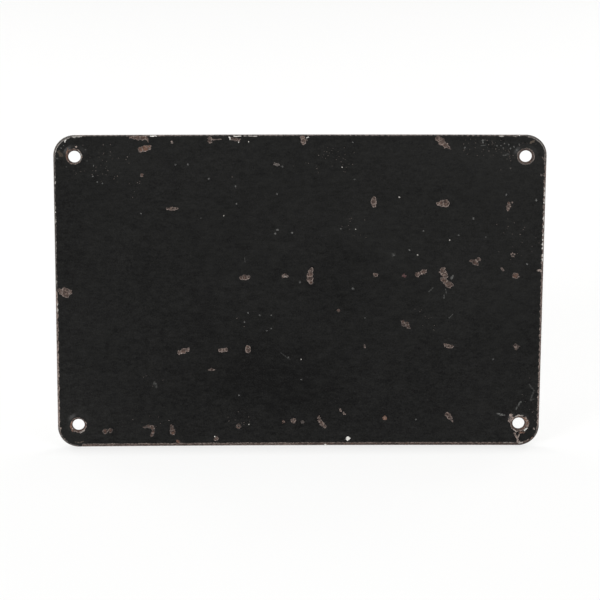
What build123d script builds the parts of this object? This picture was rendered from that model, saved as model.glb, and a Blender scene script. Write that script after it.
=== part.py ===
"""Enamelled steel sign: a slightly dished sheet with round corners and four pressed screw collars.

The sign is one blanked and pressed sheet, glazed all over. It is modelled as it hangs, with +Z up
and +X along its length. Its reverse faces -Y, towards the wall, and its front faces +Y. The origin
is the centre of the hole pattern, in the plane where the four collars seat on the wall.
"""
from build123d import *

import os
from math import atan2, hypot, tan

# Sheet, in millimetres, measured over the glaze
plate_length = 300.0
plate_height = 200.0
corner_radius = 13.0
sheet_thickness = 2.2
edge_rounding = 1.0
dish_depth = 1.5

# Screw holes, which were punched a little nearer to the top edge than to the bottom one
hole_diameter = 7.5
hole_inset_side = 12.9
hole_inset_top = 13.2
hole_inset_bottom = 14.9
hole_edge_chamfer = 0.35

# Collars pressed round the holes, which stand off the reverse and sink the front. The roundings
# are those inside each bend, and the root is the part of a collar's flank that lies in the sheet
seat_diameter = 10.8
collar_foot_diameter = 15.8
collar_rise = 1.1
collar_shoulder_rounding = 0.6
collar_foot_rounding = 3.0
collar_root_sink = 0.4

# How far a cutting tool reaches past the surfaces that it meets
overrun = 5.0

# The four holes are a rectangle about the origin, and the middle of the sheet lies just below it
hole_spacing_x = plate_length - 2 * hole_inset_side
hole_spacing_z = plate_height - hole_inset_top - hole_inset_bottom
sheet_drop = (hole_inset_bottom - hole_inset_top) / 2
hole_places = [
    Pos(side * hole_spacing_x / 2, 0, end * hole_spacing_z / 2) for side in (-1, 1) for end in (-1, 1)
]

# The dish is part of a sphere, and its middle lies dish_depth further from the wall than the holes
hole_reach = hypot(hole_spacing_x, hole_spacing_z) / 2
dish_radius = (hole_reach**2 + dish_depth**2) / (2 * dish_depth)
dish_centre = Pos(0, collar_rise + dish_depth - dish_radius, 0)

# A collar's flank leans by one angle on both sides of the sheet, so the wall there stays even
seat_radius = seat_diameter / 2
flank_run = (collar_foot_diameter - seat_diameter) / 2
flank_angle = atan2(collar_rise, flank_run)
recess_floor_radius = seat_radius - sheet_thickness * tan(flank_angle / 2)


def dished_sheet():
    """The blank: a rounded rectangle of even thickness, pressed to a very shallow dish."""
    half_depth = collar_rise + dish_depth + sheet_thickness + overrun
    outline = Pos(0, -sheet_drop) * RectangleRounded(plate_length, plate_height, corner_radius)
    blank = extrude(Plane.XZ * outline, half_depth, both=True)
    front_ball = dish_centre * Sphere(dish_radius + sheet_thickness)
    back_ball = dish_centre * Sphere(dish_radius)
    sheet = (blank & front_ball) - back_ball
    rims = ShapeList()
    for face in sheet.faces().filter_by(GeomType.SPHERE):
        rims += face.edges()
    return fillet(rims, min(edge_rounding, 0.48 * sheet_thickness))


def turned(points, rounding):
    """A solid turned about a hole's axis from (radius, depth) corners, its second corner rounded.

    Depth runs along +Y, away from the wall.
    """
    profile = make_face(Polyline(*points, close=True))
    shoulder = profile.vertices().sort_by_distance((*points[1], 0))[0]
    return revolve(fillet(shoulder, rounding), Axis.Y)


def collar_boss():
    """The raised side of a collar: a flat seat, a round shoulder and a flank that ends in the sheet."""
    top = collar_rise + collar_root_sink
    root_radius = seat_radius + top / tan(flank_angle)
    points = [(0, 0), (seat_radius, 0), (root_radius, top), (0, top)]
    return turned(points, collar_shoulder_rounding + sheet_thickness)


def collar_recess():
    """The sunk side of a collar, which follows the boss one sheet thickness in front of it."""
    floor = sheet_thickness
    top = floor + collar_rise + overrun
    mouth_radius = recess_floor_radius + (top - floor) / tan(flank_angle)
    points = [(0, floor), (recess_floor_radius, floor), (mouth_radius, top), (0, top)]
    return turned(points, collar_shoulder_rounding)


def press_collar(sheet, place):
    """Raises a collar on the reverse, sinks the front behind it and rounds the bend at its foot."""
    boss = place * collar_boss()
    raised = sheet + boss
    foot = new_edges(sheet, boss, combined=raised)
    raised = fillet(foot, collar_foot_rounding)
    recess = place * collar_recess()
    sunk = raised - recess
    mouth = new_edges(raised, recess, combined=sunk)
    return fillet(mouth, collar_foot_rounding + sheet_thickness)


def pierce_hole(sheet, place):
    """Pierces a screw hole and breaks both of its edges."""
    punch = place * extrude(Plane.XZ * Circle(hole_diameter / 2), sheet_thickness + overrun, both=True)
    pierced = sheet - punch
    edges = new_edges(sheet, punch, combined=pierced).filter_by(GeomType.CIRCLE)
    return chamfer(edges, hole_edge_chamfer)


def enamel_sign():
    """The whole sign, as one solid."""
    sheet = dished_sheet()
    for place in hole_places:
        sheet = press_collar(sheet, place)
        sheet = pierce_hole(sheet, place)
    return sheet


os.makedirs("parts", exist_ok=True)
export_step(enamel_sign(), "parts/sign_plate.step")
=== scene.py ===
"""Dresses an enamelled steel sign: its pressed sheet with every chip in the glaze, and a plain studio.

The sign hangs with +Z up. Its black reverse faces -Y and its white front +Y. Lengths in the flat
layout are in millimetres, as a signmaker measures them, and the pressed mesh is in metres.
"""
import random
from math import atan2, cos, hypot, pi, radians, sin, tan, tau

import bpy
import numpy as np
from bpy.props import FloatProperty, FloatVectorProperty, PointerProperty
from mathutils import Matrix, Vector
from mathutils.geometry import delaunay_2d_cdt


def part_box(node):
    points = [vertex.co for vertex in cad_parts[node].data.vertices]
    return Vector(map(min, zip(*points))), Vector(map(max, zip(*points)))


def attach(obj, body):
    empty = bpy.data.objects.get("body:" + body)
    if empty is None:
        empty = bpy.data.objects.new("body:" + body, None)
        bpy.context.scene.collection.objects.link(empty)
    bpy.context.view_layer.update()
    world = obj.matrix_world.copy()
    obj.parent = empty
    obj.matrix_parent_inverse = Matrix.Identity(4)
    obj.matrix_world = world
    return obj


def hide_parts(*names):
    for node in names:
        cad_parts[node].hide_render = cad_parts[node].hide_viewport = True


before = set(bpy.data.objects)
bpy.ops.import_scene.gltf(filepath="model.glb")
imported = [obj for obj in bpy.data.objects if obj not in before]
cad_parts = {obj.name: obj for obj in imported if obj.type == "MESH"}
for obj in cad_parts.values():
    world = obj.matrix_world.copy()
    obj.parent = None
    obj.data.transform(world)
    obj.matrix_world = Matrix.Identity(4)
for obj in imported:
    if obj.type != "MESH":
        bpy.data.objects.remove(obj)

bl_info = {
    "name": "Enamelled Sign",
    "version": (1, 0, 0),
    "blender": (4, 5, 0),
    "location": "View3D > Sidebar > Sign",
    "description": "Makes a chipped enamelled steel sign and a plain studio to show it in",
    "category": "Object",
}

SHEET_NODE = "sign_plate"
BODY = "root"
MILLIMETRE = 0.001
THICKNESS = 0.0022
COLLAR_RISE = 0.0011

cad_low, cad_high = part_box(SHEET_NODE)
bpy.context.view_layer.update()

# Finishes, as numbered in the layout's "finish" attribute
BLACK, BROKEN, RUSTED, WHITE = range(4)

# Colours that only tint a finish
SCUFF_GREY = (0.13, 0.13, 0.124)
STAIN_BROWN = (0.115, 0.092, 0.072)
YELLOWED_WHITE = (0.68, 0.65, 0.58)
WHITE_FLECK = (0.52, 0.47, 0.40)
GREY_GLAZE = (0.15, 0.15, 0.143)
GREY_SOIL = (0.038, 0.038, 0.036)
PALE_GLAZE = (0.42, 0.4, 0.37)
RED_RUST = (0.065, 0.027, 0.028)
UNLIT = (0.0, 0.0, 0.0)


# Sizes and colours

def length(name, description, default):
    """A length that a user may change, in metres."""
    return FloatProperty(name=name, description=description, default=default, unit="LENGTH", precision=5, min=0.0)


def power(name, description, default):
    """A lamp's power that a user may change, in watts."""
    return FloatProperty(name=name, description=description, default=default, unit="POWER", min=0.0)


def colour(name, description, default):
    """A colour that a user may change."""
    return FloatVectorProperty(
        name=name, description=description, default=default, size=3, subtype="COLOR", min=0.0, max=1.0
    )


class SignSizes(bpy.types.PropertyGroup):
    """The sizes of the sheet, its collars and its wear."""

    width: length("Width", "Length of the sheet along X", cad_high.x - cad_low.x)
    height: length("Height", "Height of the sheet along Z", cad_high.z - cad_low.z)
    thickness: length("Thickness", "Steel and glaze together", THICKNESS)
    corner_radius: length("Corner Radius", "Radius of the round corners", 0.013)
    edge_rounding: length("Edge Rounding", "Rounding of the glazed edge", 0.001)
    dish_depth: length(
        "Dish Depth", "How far the middle stands in front of the holes", cad_high.y - COLLAR_RISE - THICKNESS
    )
    hole_diameter: length("Hole Diameter", "Diameter of a screw hole", 0.0075)
    hole_inset_side: length("Hole Inset Side", "From a hole's centre to the side edge", 0.0129)
    hole_inset_top: length("Hole Inset Top", "From an upper hole's centre to the top edge", 0.0132)
    hole_inset_bottom: length("Hole Inset Bottom", "From a lower hole's centre to the bottom edge", 0.0149)
    hole_chamfer: length("Hole Chamfer", "Bevel of a hole's edges", 0.00035)
    seat_diameter: length("Seat Diameter", "Diameter of a collar's flat seat", 0.0108)
    foot_diameter: length("Foot Diameter", "Diameter of a collar at its foot", 0.0158)
    collar_rise: length("Collar Rise", "Height of a collar over the sheet", COLLAR_RISE)
    shoulder_rounding: length("Shoulder Rounding", "Rounding inside a collar's upper bend", 0.0006)
    foot_rounding: length("Foot Rounding", "Rounding inside a collar's lower bend", 0.003)
    chip_depth: length("Chip Depth", "Thickness of glaze that has broken off", 0.00025)
    speck_size: length("Speck Size", "Width of the largest speck of glaze on the reverse", 0.0007)
    speck_density: FloatProperty(
        name="Speck Density", description="Specks per square metre where they crowd most", default=260000.0, min=0.0
    )


class SignColours(bpy.types.PropertyGroup):
    """The colours of the glaze and of the steel under it."""

    black: colour("Black Glaze", "The reverse", (0.0002, 0.0002, 0.0002))
    haze: colour("Haze", "Dust and wipe marks on the black glaze", (0.0183, 0.0183, 0.0174))
    white: colour("White Glaze", "The front, and where it laps round the edge", (0.76, 0.74, 0.70))
    broken: colour("Broken Glaze", "The pale body of the glaze in a chip's slope", (0.32, 0.247, 0.215))
    soil: colour("Soil", "Dirt in the broken glaze", (0.048, 0.036, 0.031))
    bare: colour("Bare Steel", "Brown steel on a chip's floor", (0.086, 0.06, 0.05))
    dark_rust: colour("Dark Rust", "Old rust on the rim and in the holes", (0.022, 0.013, 0.011))
    orange_rust: colour("Orange Rust", "Fresh rust", (0.24, 0.115, 0.07))
    floor: colour("Floor", "The studio floor", (0.93, 0.93, 0.925))


# The photograph's camera

class PhotoCamera:
    """Where the photograph was taken from, for a picture 600 pixels square."""

    picture_side = 600.0
    focal_length = 3200.0
    sensor_width = 36.0
    elevation = radians(17.08)
    azimuth = radians(1.58)
    roll = radians(0.335)
    distance = 1972.0
    target = Vector((0.24, 2.0, -5.63))
    reverse_depth = 2.2

    @classmethod
    def axes(cls):
        """The camera's right, up and forward directions."""
        forward = Vector((
            sin(cls.azimuth) * cos(cls.elevation), cos(cls.azimuth) * cos(cls.elevation), -sin(cls.elevation)
        ))
        level = Vector((cos(cls.azimuth), -sin(cls.azimuth), 0))
        above = level.cross(forward)
        right = cos(cls.roll) * level + sin(cls.roll) * above
        up = cos(cls.roll) * above - sin(cls.roll) * level
        return right, up, forward

    @classmethod
    def eye(cls):
        """The lens, in millimetres."""
        return cls.target - cls.axes()[2] * cls.distance

    @classmethod
    def on_reverse(cls, across, down):
        """The point of the reverse, as (x, z), that the photograph shows at that pixel."""
        right, up, forward = cls.axes()
        middle = cls.picture_side / 2
        ray = forward + right * (across - middle) / cls.focal_length - up * (down - middle) / cls.focal_length
        eye = cls.eye()
        place = eye + ray * (cls.reverse_depth - eye.y) / ray.y
        return place.x, place.z


PIXEL = 0.63  # millimetres of the reverse that one pixel of the photograph covers
BLOT_PIXEL = 0.57  # the same for the radius of a blot, which the photograph's blur widens
BLOT_WALL = 0.5  # millimetres that two blots' reaches differ by at the side of the wall between them
BOTTOM_ROW, TOP_ROW, MIDDLE_COLUMN = 444, 136, 300  # photo pixels of the sign's edges and middle


# Wear, as the photograph shows it

class Chip:
    """A fault in the black glaze: a chain of round blots, each (across, down, radius) in photo pixels.

    kind is "deep" to the steel, "shallow" in the glaze, "spot" for bare rust, "white" for white
    glaze that shows, "crumb" for glaze left on worn ground, "scuff" for a dull mark and "stain" for
    rust on sound glaze. warmth goes from grey to orange and red. pale is how light the chip is. For
    a scuff or a stain it is how strong the mark is, from -0.6, which hardly shows. core is the radius
    of an island of sound glaze in the first blot, and rough is how ragged the edge is.
    """

    WIDEST_SLOPE = 0.42  # millimetres from the lip of a large chip to its floor
    RAGGED_SHARE = 0.42  # how far the edge strays, as a share of the chip's size
    RAGGED_MOST = 0.62  # how far it strays at most, in millimetres
    FINEST, COARSEST = 0.13, 0.3  # steps of the grid on which the edge is traced, in millimetres

    def __init__(self, name, *blots, kind="deep", warmth=0.3, pale=0.5, core=0.0, rough=1.0):
        self.kind = kind
        self.warmth = warmth
        self.pale = pale
        self.core = core * PIXEL
        self.rough = rough
        self.blots = [(*PhotoCamera.on_reverse(across, down), radius * BLOT_PIXEL) for across, down, radius in blots]
        self.size = sum(radius for _, _, radius in self.blots) / len(self.blots)
        self.ragged = Waves(name, 0.7 + 1.1 * self.size, 6)
        spare = 0.8 + 0.5 * self.size
        self.box = (
            min(x - r for x, z, r in self.blots) - spare, min(z - r for x, z, r in self.blots) - spare,
            max(x + r for x, z, r in self.blots) + spare, max(z + r for x, z, r in self.blots) + spare,
        )
        self.slope = min(self.WIDEST_SLOPE, 0.5 * self.size)
        lip, floor = {
            "deep": (BROKEN, RUSTED), "shallow": (BROKEN, BROKEN), "spot": (RUSTED, RUSTED),
            "white": (WHITE, WHITE), "crumb": (BROKEN, BROKEN), "scuff": (None, None), "stain": (None, None),
        }[kind]
        self.over = kind == "crumb"
        self.levels = ((0, lip), (self.slope, floor))
        self.depth = {"deep": 1.0, "shallow": 0.5, "spot": 0.5, "white": 0.3}.get(kind, 0)
        self.fine = min(self.COARSEST, max(self.FINEST, self.size / 5))

    def field(self, x, z):
        """Signed distance to the chip's lip, negative inside."""
        near = np.full(np.shape(x), 1e3)
        chain = self.blots if len(self.blots) > 1 else self.blots * 2
        for (x0, z0, r0), (x1, z1, r1) in zip(chain, chain[1:]):
            run = max((x1 - x0) ** 2 + (z1 - z0) ** 2, 1e-9)
            along = np.clip(((x - x0) * (x1 - x0) + (z - z0) * (z1 - z0)) / run, 0, 1)
            off = np.hypot(x - x0 - along * (x1 - x0), z - z0 - along * (z1 - z0))
            near = np.minimum(near, off - r0 - along * (r1 - r0))
        stray = min(self.RAGGED_SHARE * self.size, self.RAGGED_MOST)
        near = near + self.ragged.at(x, z) * self.rough * stray
        if self.core:
            x0, z0, _ = self.blots[0]
            near = np.maximum(near, self.core - np.hypot(x - x0, z - z0))
        return near

    def wall(self, x, z):
        """Positive where a thin wall of broken glaze stands between two blots."""
        if len(self.blots) == 1 or self.kind != "deep":
            return np.full(np.shape(x), -1e3)
        reaches = np.sort([np.hypot(x - x0, z - z0) - radius for x0, z0, radius in self.blots], axis=0)
        return BLOT_WALL - (reaches[1] - reaches[0])


class Waves:
    """A smooth random field between about -1 and 1, the same for the same name."""

    def __init__(self, name, wavelength, count):
        draw = random.Random(name)
        self.parts = []
        for number in range(count):
            heading = draw.uniform(0, pi)
            turns = tau / (wavelength * draw.uniform(0.55, 1.6) / (1 + 0.35 * number))
            weight = 1 / (1 + 0.4 * number)
            self.parts.append((turns * cos(heading), turns * sin(heading), draw.uniform(0, tau), weight))
        self.whole = sum(part[3] for part in self.parts) * 0.6

    def at(self, x, z):
        """The field at each place."""
        total = 0
        for across, up, start, weight in self.parts:
            total = total + weight * np.sin(across * x + up * z + start)
        return total / self.whole


def dots(kind, pale, *places):
    """Small round marks, each (across, down, radius)."""
    return [Chip(f"{kind}_{across:.0f}_{down:.0f}", (across, down, radius), kind=kind, pale=pale, warmth=0.0)
            for across, down, radius in places]


CHIPS = [
    # Along the top edge
    Chip("top_edge_long", (131, 136.6, 1.6), (137, 137.6, 2.4), (143, 137.4, 2.6), (147, 138, 1.8), warmth=0.35),
    Chip("top_edge_tail", (147, 138.5, 1.0), (148.3, 141.3, 0.9), warmth=0.4),
    Chip("top_edge_blob", (210, 138.4, 2.2), (210, 141.2, 2.3)),
    Chip("top_edge_blob_tail", (213, 139.6, 0.8), (221, 139, 0.5), kind="shallow", pale=0.1),
    Chip("top_edge_left", (231.6, 138.6, 1.6), (235, 139, 1.9), (239, 139.6, 1.6), warmth=0.4, pale=0.4),
    Chip("top_edge_left_white", (229.6, 137.2, 0.9), (230, 139.4, 0.6), kind="white"),
    Chip("top_edge_left_dot", (238.6, 142.2, 0.58), kind="white"),
    Chip("top_edge_right_dot", (248.7, 141.7, 0.58), kind="white"),
    Chip("top_edge_middle", (302, 137.4, 2.6), (303.6, 140.6, 3.2), (304, 143, 2.0), pale=0.7),
    Chip("top_edge_middle_white", (306.7, 138, 0.5), (308.6, 137, 0.42), kind="white"),
    Chip("top_edge_right", (438.8, 139, 3.6), (441.6, 141.6, 3.6), (444.8, 144.8, 2.4), (449, 147.4, 1.6), pale=0.75),
    # Upper part
    Chip("upper_left_rust", (140.3, 149.2, 2.6), (145, 148.3, 3.3), (149.6, 147, 1.9), warmth=1.1),
    Chip("upper_left_brown", (142, 175, 2.1), warmth=0.4),
    Chip("upper_left_lozenge", (166.8, 208.8, 1.0), (172, 208.7, 2.2), (177.2, 208.6, 1.0), pale=0.6),
    Chip("upper_middle_patch", (274.6, 163.8, 1.3), (277.6, 164.6, 1.9), kind="shallow", warmth=0.12, pale=0.45),
    Chip("upper_middle_patch_small", (282, 166.4, 1.2), kind="shallow", pale=0.0, warmth=0.0),
    Chip("upper_right_oval", (374, 198.4, 2.2), (373.6, 202, 3.1), (374.2, 205.6, 2.2), pale=0.75, rough=0.4),
    Chip("upper_right_drop", (438, 203.6, 2.0), (442, 203.5, 3.6), (445.6, 203.2, 4.2), pale=0.6, rough=0.4),
    Chip("upper_right_column", (508.4, 203, 1.6), (508.4, 206, 2.1), (508.2, 209.2, 1.6)),
    Chip("upper_right_column_dot", (512, 202, 1.0), kind="shallow"),
    Chip("corner_scuff", (503, 155, 0.9), (508.4, 153.8, 1.2), kind="scuff"),
    Chip("corner_dash_high", (481, 140.4, 0.6), (485.5, 139.6, 0.6), kind="scuff", pale=0.35),
    Chip("corner_dash_low", (481, 145.3, 0.6), (485.5, 144.8, 0.6), kind="scuff", pale=0.3),
    Chip("corner_stain", (530, 142.5, 1.2), (533.5, 140.5, 1.6), kind="stain", pale=1.6),
    # Middle band
    Chip("left_edge_kidney", (61.4, 291.4, 4.0), (65.6, 292.2, 5.6), (69.4, 291.9, 3.3), warmth=0.25, pale=0.75),
    Chip("middle_left_oval", (241.4, 277.9, 2.2), (244.8, 277.6, 3.3), (248.2, 277.4, 2.2), rough=0.4),
    Chip("middle_crescent", (282.8, 276.8, 1.4), (285, 275.6, 2.0), (287.2, 276.4, 1.2), warmth=0.4),
    Chip("middle_crescent_pale", (284.2, 276.3, 0.6), (286.4, 277, 0.8), kind="crumb", pale=0.85),
    Chip("middle_left_mark", (244.6, 257.4, 0.5), (245.2, 262, 0.7), kind="scuff", pale=0.1),
    Chip("middle_column", (311.6, 268.8, 1.8), (310, 274.5, 3.1), (310, 279.4, 3.4), (311, 282.4, 2.2), rough=0.6),
    Chip("middle_brown", (375.4, 274.8, 2.3), warmth=0.6, pale=0.72),
    Chip("middle_grey", (393.4, 255, 2.6), kind="scuff", pale=-0.15),
    Chip("middle_red", (404.2, 275.8, 1.9), kind="spot", warmth=2.0, pale=0.2),
    Chip("dumbbell", (417.2, 274.8, 2.6), (420, 273.2, 1.5), (424, 271.7, 2.7), pale=0.7),
    Chip("serpentine", (442.7, 270.2, 3.3), (444.8, 275.6, 3.2), (443.8, 280, 3.0), (449.5, 284.8, 3.8), pale=0.6),
    Chip("serpentine_scuff", (451.4, 278.2, 1.5), (453.4, 275.4, 0.9), kind="scuff", pale=2.6),
    Chip("scuff_below_left", (429, 291.5, 0.8), (432.8, 288, 0.8), kind="scuff", pale=0.2),
    Chip("scuff_below_middle", (445.6, 289, 0.6), (446.4, 293.5, 0.6), kind="scuff"),
    Chip("scuff_below_right", (444, 295, 0.7), (443.9, 298.5, 0.7), kind="scuff"),
    Chip("cross_stem", (471.4, 260.4, 1.7), (474.4, 262.2, 2.7), (477.4, 264, 1.7), warmth=0.5, pale=0.15),
    Chip("cross_arm", (474.6, 262, 1.6), (478.6, 258.9, 1.9), warmth=0.35, pale=0.5),
    Chip("right_ring", (512.9, 254.5, 2.3), kind="shallow", pale=0.55, core=0.9),
    Chip("right_comma", (501.2, 267.8, 1.1), (503.1, 269.9, 1.2), kind="shallow", pale=0.3),
    Chip("right_branch", (537.4, 269.7, 0.8), (540.8, 270.2, 1.4), kind="shallow", pale=0.8),
    Chip("upper_right_mark", (482.6, 138.8, 0.6), (482.8, 142.5, 0.8), kind="scuff", pale=1.5),
    Chip("right_round", (515.5, 275.3, 3.6), warmth=0.5, pale=0.6),
    Chip("centre_brown", (338.2, 310.7, 1.7), kind="spot", warmth=0.3, pale=0.6),
    Chip("right_jagged", (402.4, 321.6, 1.9), (404.2, 325.2, 1.9), (406.6, 322.8, 1.7), (408.4, 327.2, 2.0),
         pale=0.15),
    Chip("right_scratch", (449, 318, 0.5), (453, 314, 0.5), kind="scuff"),
    # Lower part
    Chip("lower_left_slanted", (179.4, 352.6, 2.0), (183.3, 351.2, 2.8), (187.4, 349.8, 2.0), pale=0.6, warmth=0.4),
    Chip("lower_left_pair", (220.6, 350.4, 2.2), (223.3, 350.4, 2.1), (226, 349.9, 2.1), pale=0.6, rough=0.5),
    Chip("lower_left_egg", (247.8, 347.4, 2.5), (248, 350.6, 3.1), warmth=0.35, rough=0.3),
    Chip("lower_left_dot", (208.8, 369.7, 0.9), (211.6, 369.5, 1.5), (214.6, 370, 0.6), pale=0.25, rough=0.5),
    Chip("lower_right_zigzag", (445.6, 344.8, 1.9), (448.4, 346, 2.3), (451.8, 346.4, 2.0), rough=0.8),
    Chip("lower_right_dash", (364.6, 345.3, 1.0), (364.8, 347.6, 1.0), kind="shallow", pale=0.1),
    Chip("lower_right_triangle", (515, 345.2, 1.9), (517.8, 346.2, 1.7), (515.8, 348.6, 1.3), pale=0.1),
    Chip("low_slanted_high", (340, 409, 0.9), (341, 411, 1.0), kind="shallow", pale=0.3),
    Chip("low_slanted_low", (343.6, 412.7, 1.1), (344.4, 414.1, 1.1), kind="shallow", pale=0.4),
    Chip("low_orange", (384.8, 417.9, 2.5), kind="spot", warmth=1.0, rough=0.5),
    Chip("low_ring_right", (447.6, 414.6, 2.8), (449.8, 417, 2.6), pale=0.4, rough=0.7),
    Chip("low_ring_right_tail", (450.6, 418.6, 1.3), (452.6, 421.2, 0.8), kind="shallow", pale=0.0),
    Chip("low_double_ring_left", (105.2, 431, 2.9), warmth=0.4, pale=0.05, rough=0.5),
    Chip("low_double_ring_right", (110.4, 430.1, 2.6), warmth=0.35, pale=0.05, rough=0.5),
    Chip("low_hook", (144, 426.8, 1.0), (148.5, 425.9, 1.6), (152.6, 427.2, 2.0), (153.4, 431, 1.5),
         (151.8, 434.8, 1.7), warmth=0.5, pale=0.1),
    Chip("low_tall", (171.4, 426, 1.8), (172.2, 429, 2.2), (172.8, 432.2, 2.9), warmth=0.5, pale=0.1),
    Chip("low_edge_brown", (177.8, 441.2, 2.2), kind="spot", warmth=0.5, pale=0.05),
    Chip("low_ring_left", (238.6, 426.2, 2.9), warmth=0.4, core=0.8, pale=0.0, rough=0.4),
    Chip("low_brown", (283.4, 422, 1.6), kind="spot", warmth=0.5),
    Chip("low_ring_middle", (293.2, 420.6, 3.0), warmth=0.55, core=0.7, rough=0.4, pale=0.35),
    Chip("low_faint", (302.4, 421.7, 1.9), kind="shallow", pale=0.0, warmth=0.15),
    Chip("low_diagonal", (318.6, 416.8, 1.2), (319.4, 420, 1.8), (321.6, 423.6, 2.3), (325, 426.4, 1.8), pale=0.45),
    Chip("low_pebble", (216.4, 438.5, 2.6), warmth=0.4),
    Chip("low_pebble_white", (215, 436.4, 0.75), kind="white", pale=1.0),
    Chip("low_cream", (347.9, 438.3, 2.25), kind="white", pale=0.6, rough=0.6),
    Chip("corner_leaf", (496.6, 412.8, 0.9), (500.5, 414, 1.9), (504.3, 414.8, 0.9), kind="scuff", pale=1.0),
    Chip("corner_streak", (516, 408.5, 0.9), (520.4, 401.2, 1.2), kind="scuff", pale=0.5),
    Chip("right_edge_scuff", (529, 384, 1.0), (534, 390, 1.1), (530.5, 399, 1.1), kind="scuff", pale=-0.15),
    Chip("lower_left_grey", (154.6, 383, 2.3), (156.6, 387, 1.4), kind="scuff", pale=-0.1),
    Chip("lower_middle_smear", (281, 353, 0.8), (286, 357, 0.9), (290, 359.6, 0.8), kind="scuff", pale=-0.25),
    # Round the lower right hole
    Chip("lower_right_collar_patch", (510.8, 414.6, 1.9), (510.9, 418, 2.4), (509.4, 420, 1.5), kind="crumb",
         pale=0.72),
    Chip("lower_right_collar_rust", (524.6, 417.6, 2.3), (527, 422, 2.0), (526.6, 425.6, 1.3), warmth=0.9, pale=0.7),
    Chip("lower_right_collar_low_rust", (519.4, 431.6, 1.2), (523.6, 431.6, 1.2), kind="spot", warmth=0.8, pale=0.7),
    # White glaze at the hole's lower right, partly a painted highlight where the hole's wall catches the light
    Chip("lower_right_collar_white", (524, 429.5, 0.75), (526.3, 427.4, 0.8), kind="white"),
    Chip("lower_right_collar_arc", (514.8, 415.8, 0.7), (518, 414.2, 0.7), (522.4, 414.6, 0.6), kind="crumb",
         warmth=0.2, pale=0.86),
    Chip("lower_right_collar_speck_one", (525.5, 417.3, 0.6), kind="crumb", pale=0.95),
    Chip("lower_right_collar_speck_two", (526.2, 420.2, 0.7), kind="crumb", pale=0.8),
    Chip("lower_right_collar_under", (512.8, 427.8, 0.5), (516, 430.8, 0.6), kind="crumb", pale=0.88),
    Chip("lower_right_fork_left", (514, 432, 1.0), (517, 437, 1.2), kind="shallow", warmth=0.3, pale=0.6),
    Chip("lower_right_fork_right", (519.6, 432, 0.6), (518, 436.4, 0.6), kind="shallow", warmth=0.3, pale=0.8),
    Chip("lower_right_fork_stem", (517.3, 437, 0.9), (517.4, 441, 0.9), (519.2, 441.4, 1.2), kind="shallow",
         warmth=0.3, pale=0.8),
    Chip("lower_right_corner_spot", (531, 438, 1.0), (532.4, 436.6, 0.8), kind="spot", warmth=0.8, pale=0.6),
    Chip("lower_right_arc_scuff", (530, 400, 0.7), (534, 398.4, 0.7), kind="scuff", pale=0.1),
    # Round the lower left hole
    Chip("lower_left_collar_rust", (72.4, 420.4, 0.8), (70.9, 425, 1.0), (72.6, 430.2, 0.8), kind="spot",
         warmth=0.9, pale=0.7),
    Chip("lower_left_collar_pink", (72.8, 427.3, 0.8), kind="crumb", pale=0.92),
    Chip("lower_left_arc_stain", (75.4, 441.4, 0.6), (79.6, 442, 0.7), (83.6, 440.6, 0.6), kind="stain", pale=0.6),
    # Pale worn glaze at the hole's lower right, brightened as a painted highlight where the hole's wall catches the
    # light
    Chip("lower_left_collar_streak", (80.4, 431.8, 0.7), (84.6, 429, 0.7), kind="crumb", warmth=0.2, pale=0.85),
    Chip("lower_left_dot_high", (60.8, 427.7, 1.0), kind="shallow", pale=0.8),
    Chip("lower_left_dot_low", (64.5, 438.4, 0.9), kind="shallow", pale=0.8),
    # Round the upper holes
    Chip("upper_left_white", (65.6, 139.2, 0.8), (64.8, 141.2, 0.6), kind="white"),
    Chip("upper_left_pink", (76.2, 146.1, 1.1), kind="crumb", pale=0.8, warmth=0.5),
    Chip("upper_left_collar_rust", (67.8, 148.2, 0.7), (66.5, 153.6, 0.8), (67.8, 159.4, 0.7), kind="spot",
         warmth=0.9, pale=0.6),
    Chip("upper_left_dash_high", (78.5, 149.3, 0.5), (79.6, 150.9, 0.5), kind="crumb", warmth=0.1, pale=0.92),
    Chip("upper_left_dash_low", (80.8, 152.6, 0.65), (81.8, 154.6, 0.7), kind="crumb", warmth=0.1, pale=0.92),
    # Pale worn glaze at the hole's lower right, partly a painted highlight where the hole's wall catches the light
    Chip("upper_left_wear", (81.2, 157.2, 0.6), (80.4, 159.6, 0.6), kind="crumb", warmth=0.05, pale=0.85),
    Chip("upper_left_stain", (59, 151, 1.9), (60.8, 154.6, 2.6), kind="stain", pale=0.3),
    *dots("shallow", 0.4, (57.4, 157.8, 0.9), (61.2, 147.6, 0.7), (63.6, 144.8, 0.6), (66.4, 166.4, 0.6),
          (85.6, 149.2, 0.6), (87, 160.4, 0.6)),
    Chip("upper_right_tick", (542, 156.6, 0.5), (544.4, 159.8, 0.5), kind="shallow", pale=0.6),
    Chip("upper_right_dash", (510.5, 167.8, 0.8), kind="shallow", warmth=0.1),
    Chip("upper_right_patch", (541.3, 174.5, 1.2), kind="shallow", warmth=0.1, pale=0.6),
    *dots("shallow", 0.5, (188, 164.4, 1.0), (175.4, 164.4, 1.05), (141, 213.4, 0.8),
          (93.6, 165.4, 0.9), (92.8, 176, 0.8), (97, 181.7, 0.9), (102.4, 183, 0.8),
          (235.6, 186.3, 0.9), (208.6, 178.7, 0.9), (236.6, 203.7, 0.9), (277, 194, 1.0), (201, 218, 0.6),
          (352.7, 142, 0.8), (464.7, 147.2, 1.05), (354.4, 179.4, 1.0), (473.3, 218.2, 1.15), (506.2, 194.3, 1.0),
          (536, 199.5, 1.2), (277.4, 230, 1.2), (275, 233.5, 1.1), (292, 232.8, 1.0), (300, 282.4, 1.1),
          (248, 313, 0.9), (259.8, 315.6, 0.9), (244.5, 322, 0.8), (271.5, 315.3, 0.8), (341, 229, 0.8),
          (423.3, 231, 0.9), (458.5, 235, 0.9), (409.5, 250, 0.9), (393.7, 255, 0.9), (485.8, 237, 0.9),
          (527, 263.8, 1.1), (353, 288.8, 1.2), (365, 318, 0.5), (301.4, 379.6, 0.8), (239.2, 395.2, 0.9),
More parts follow.
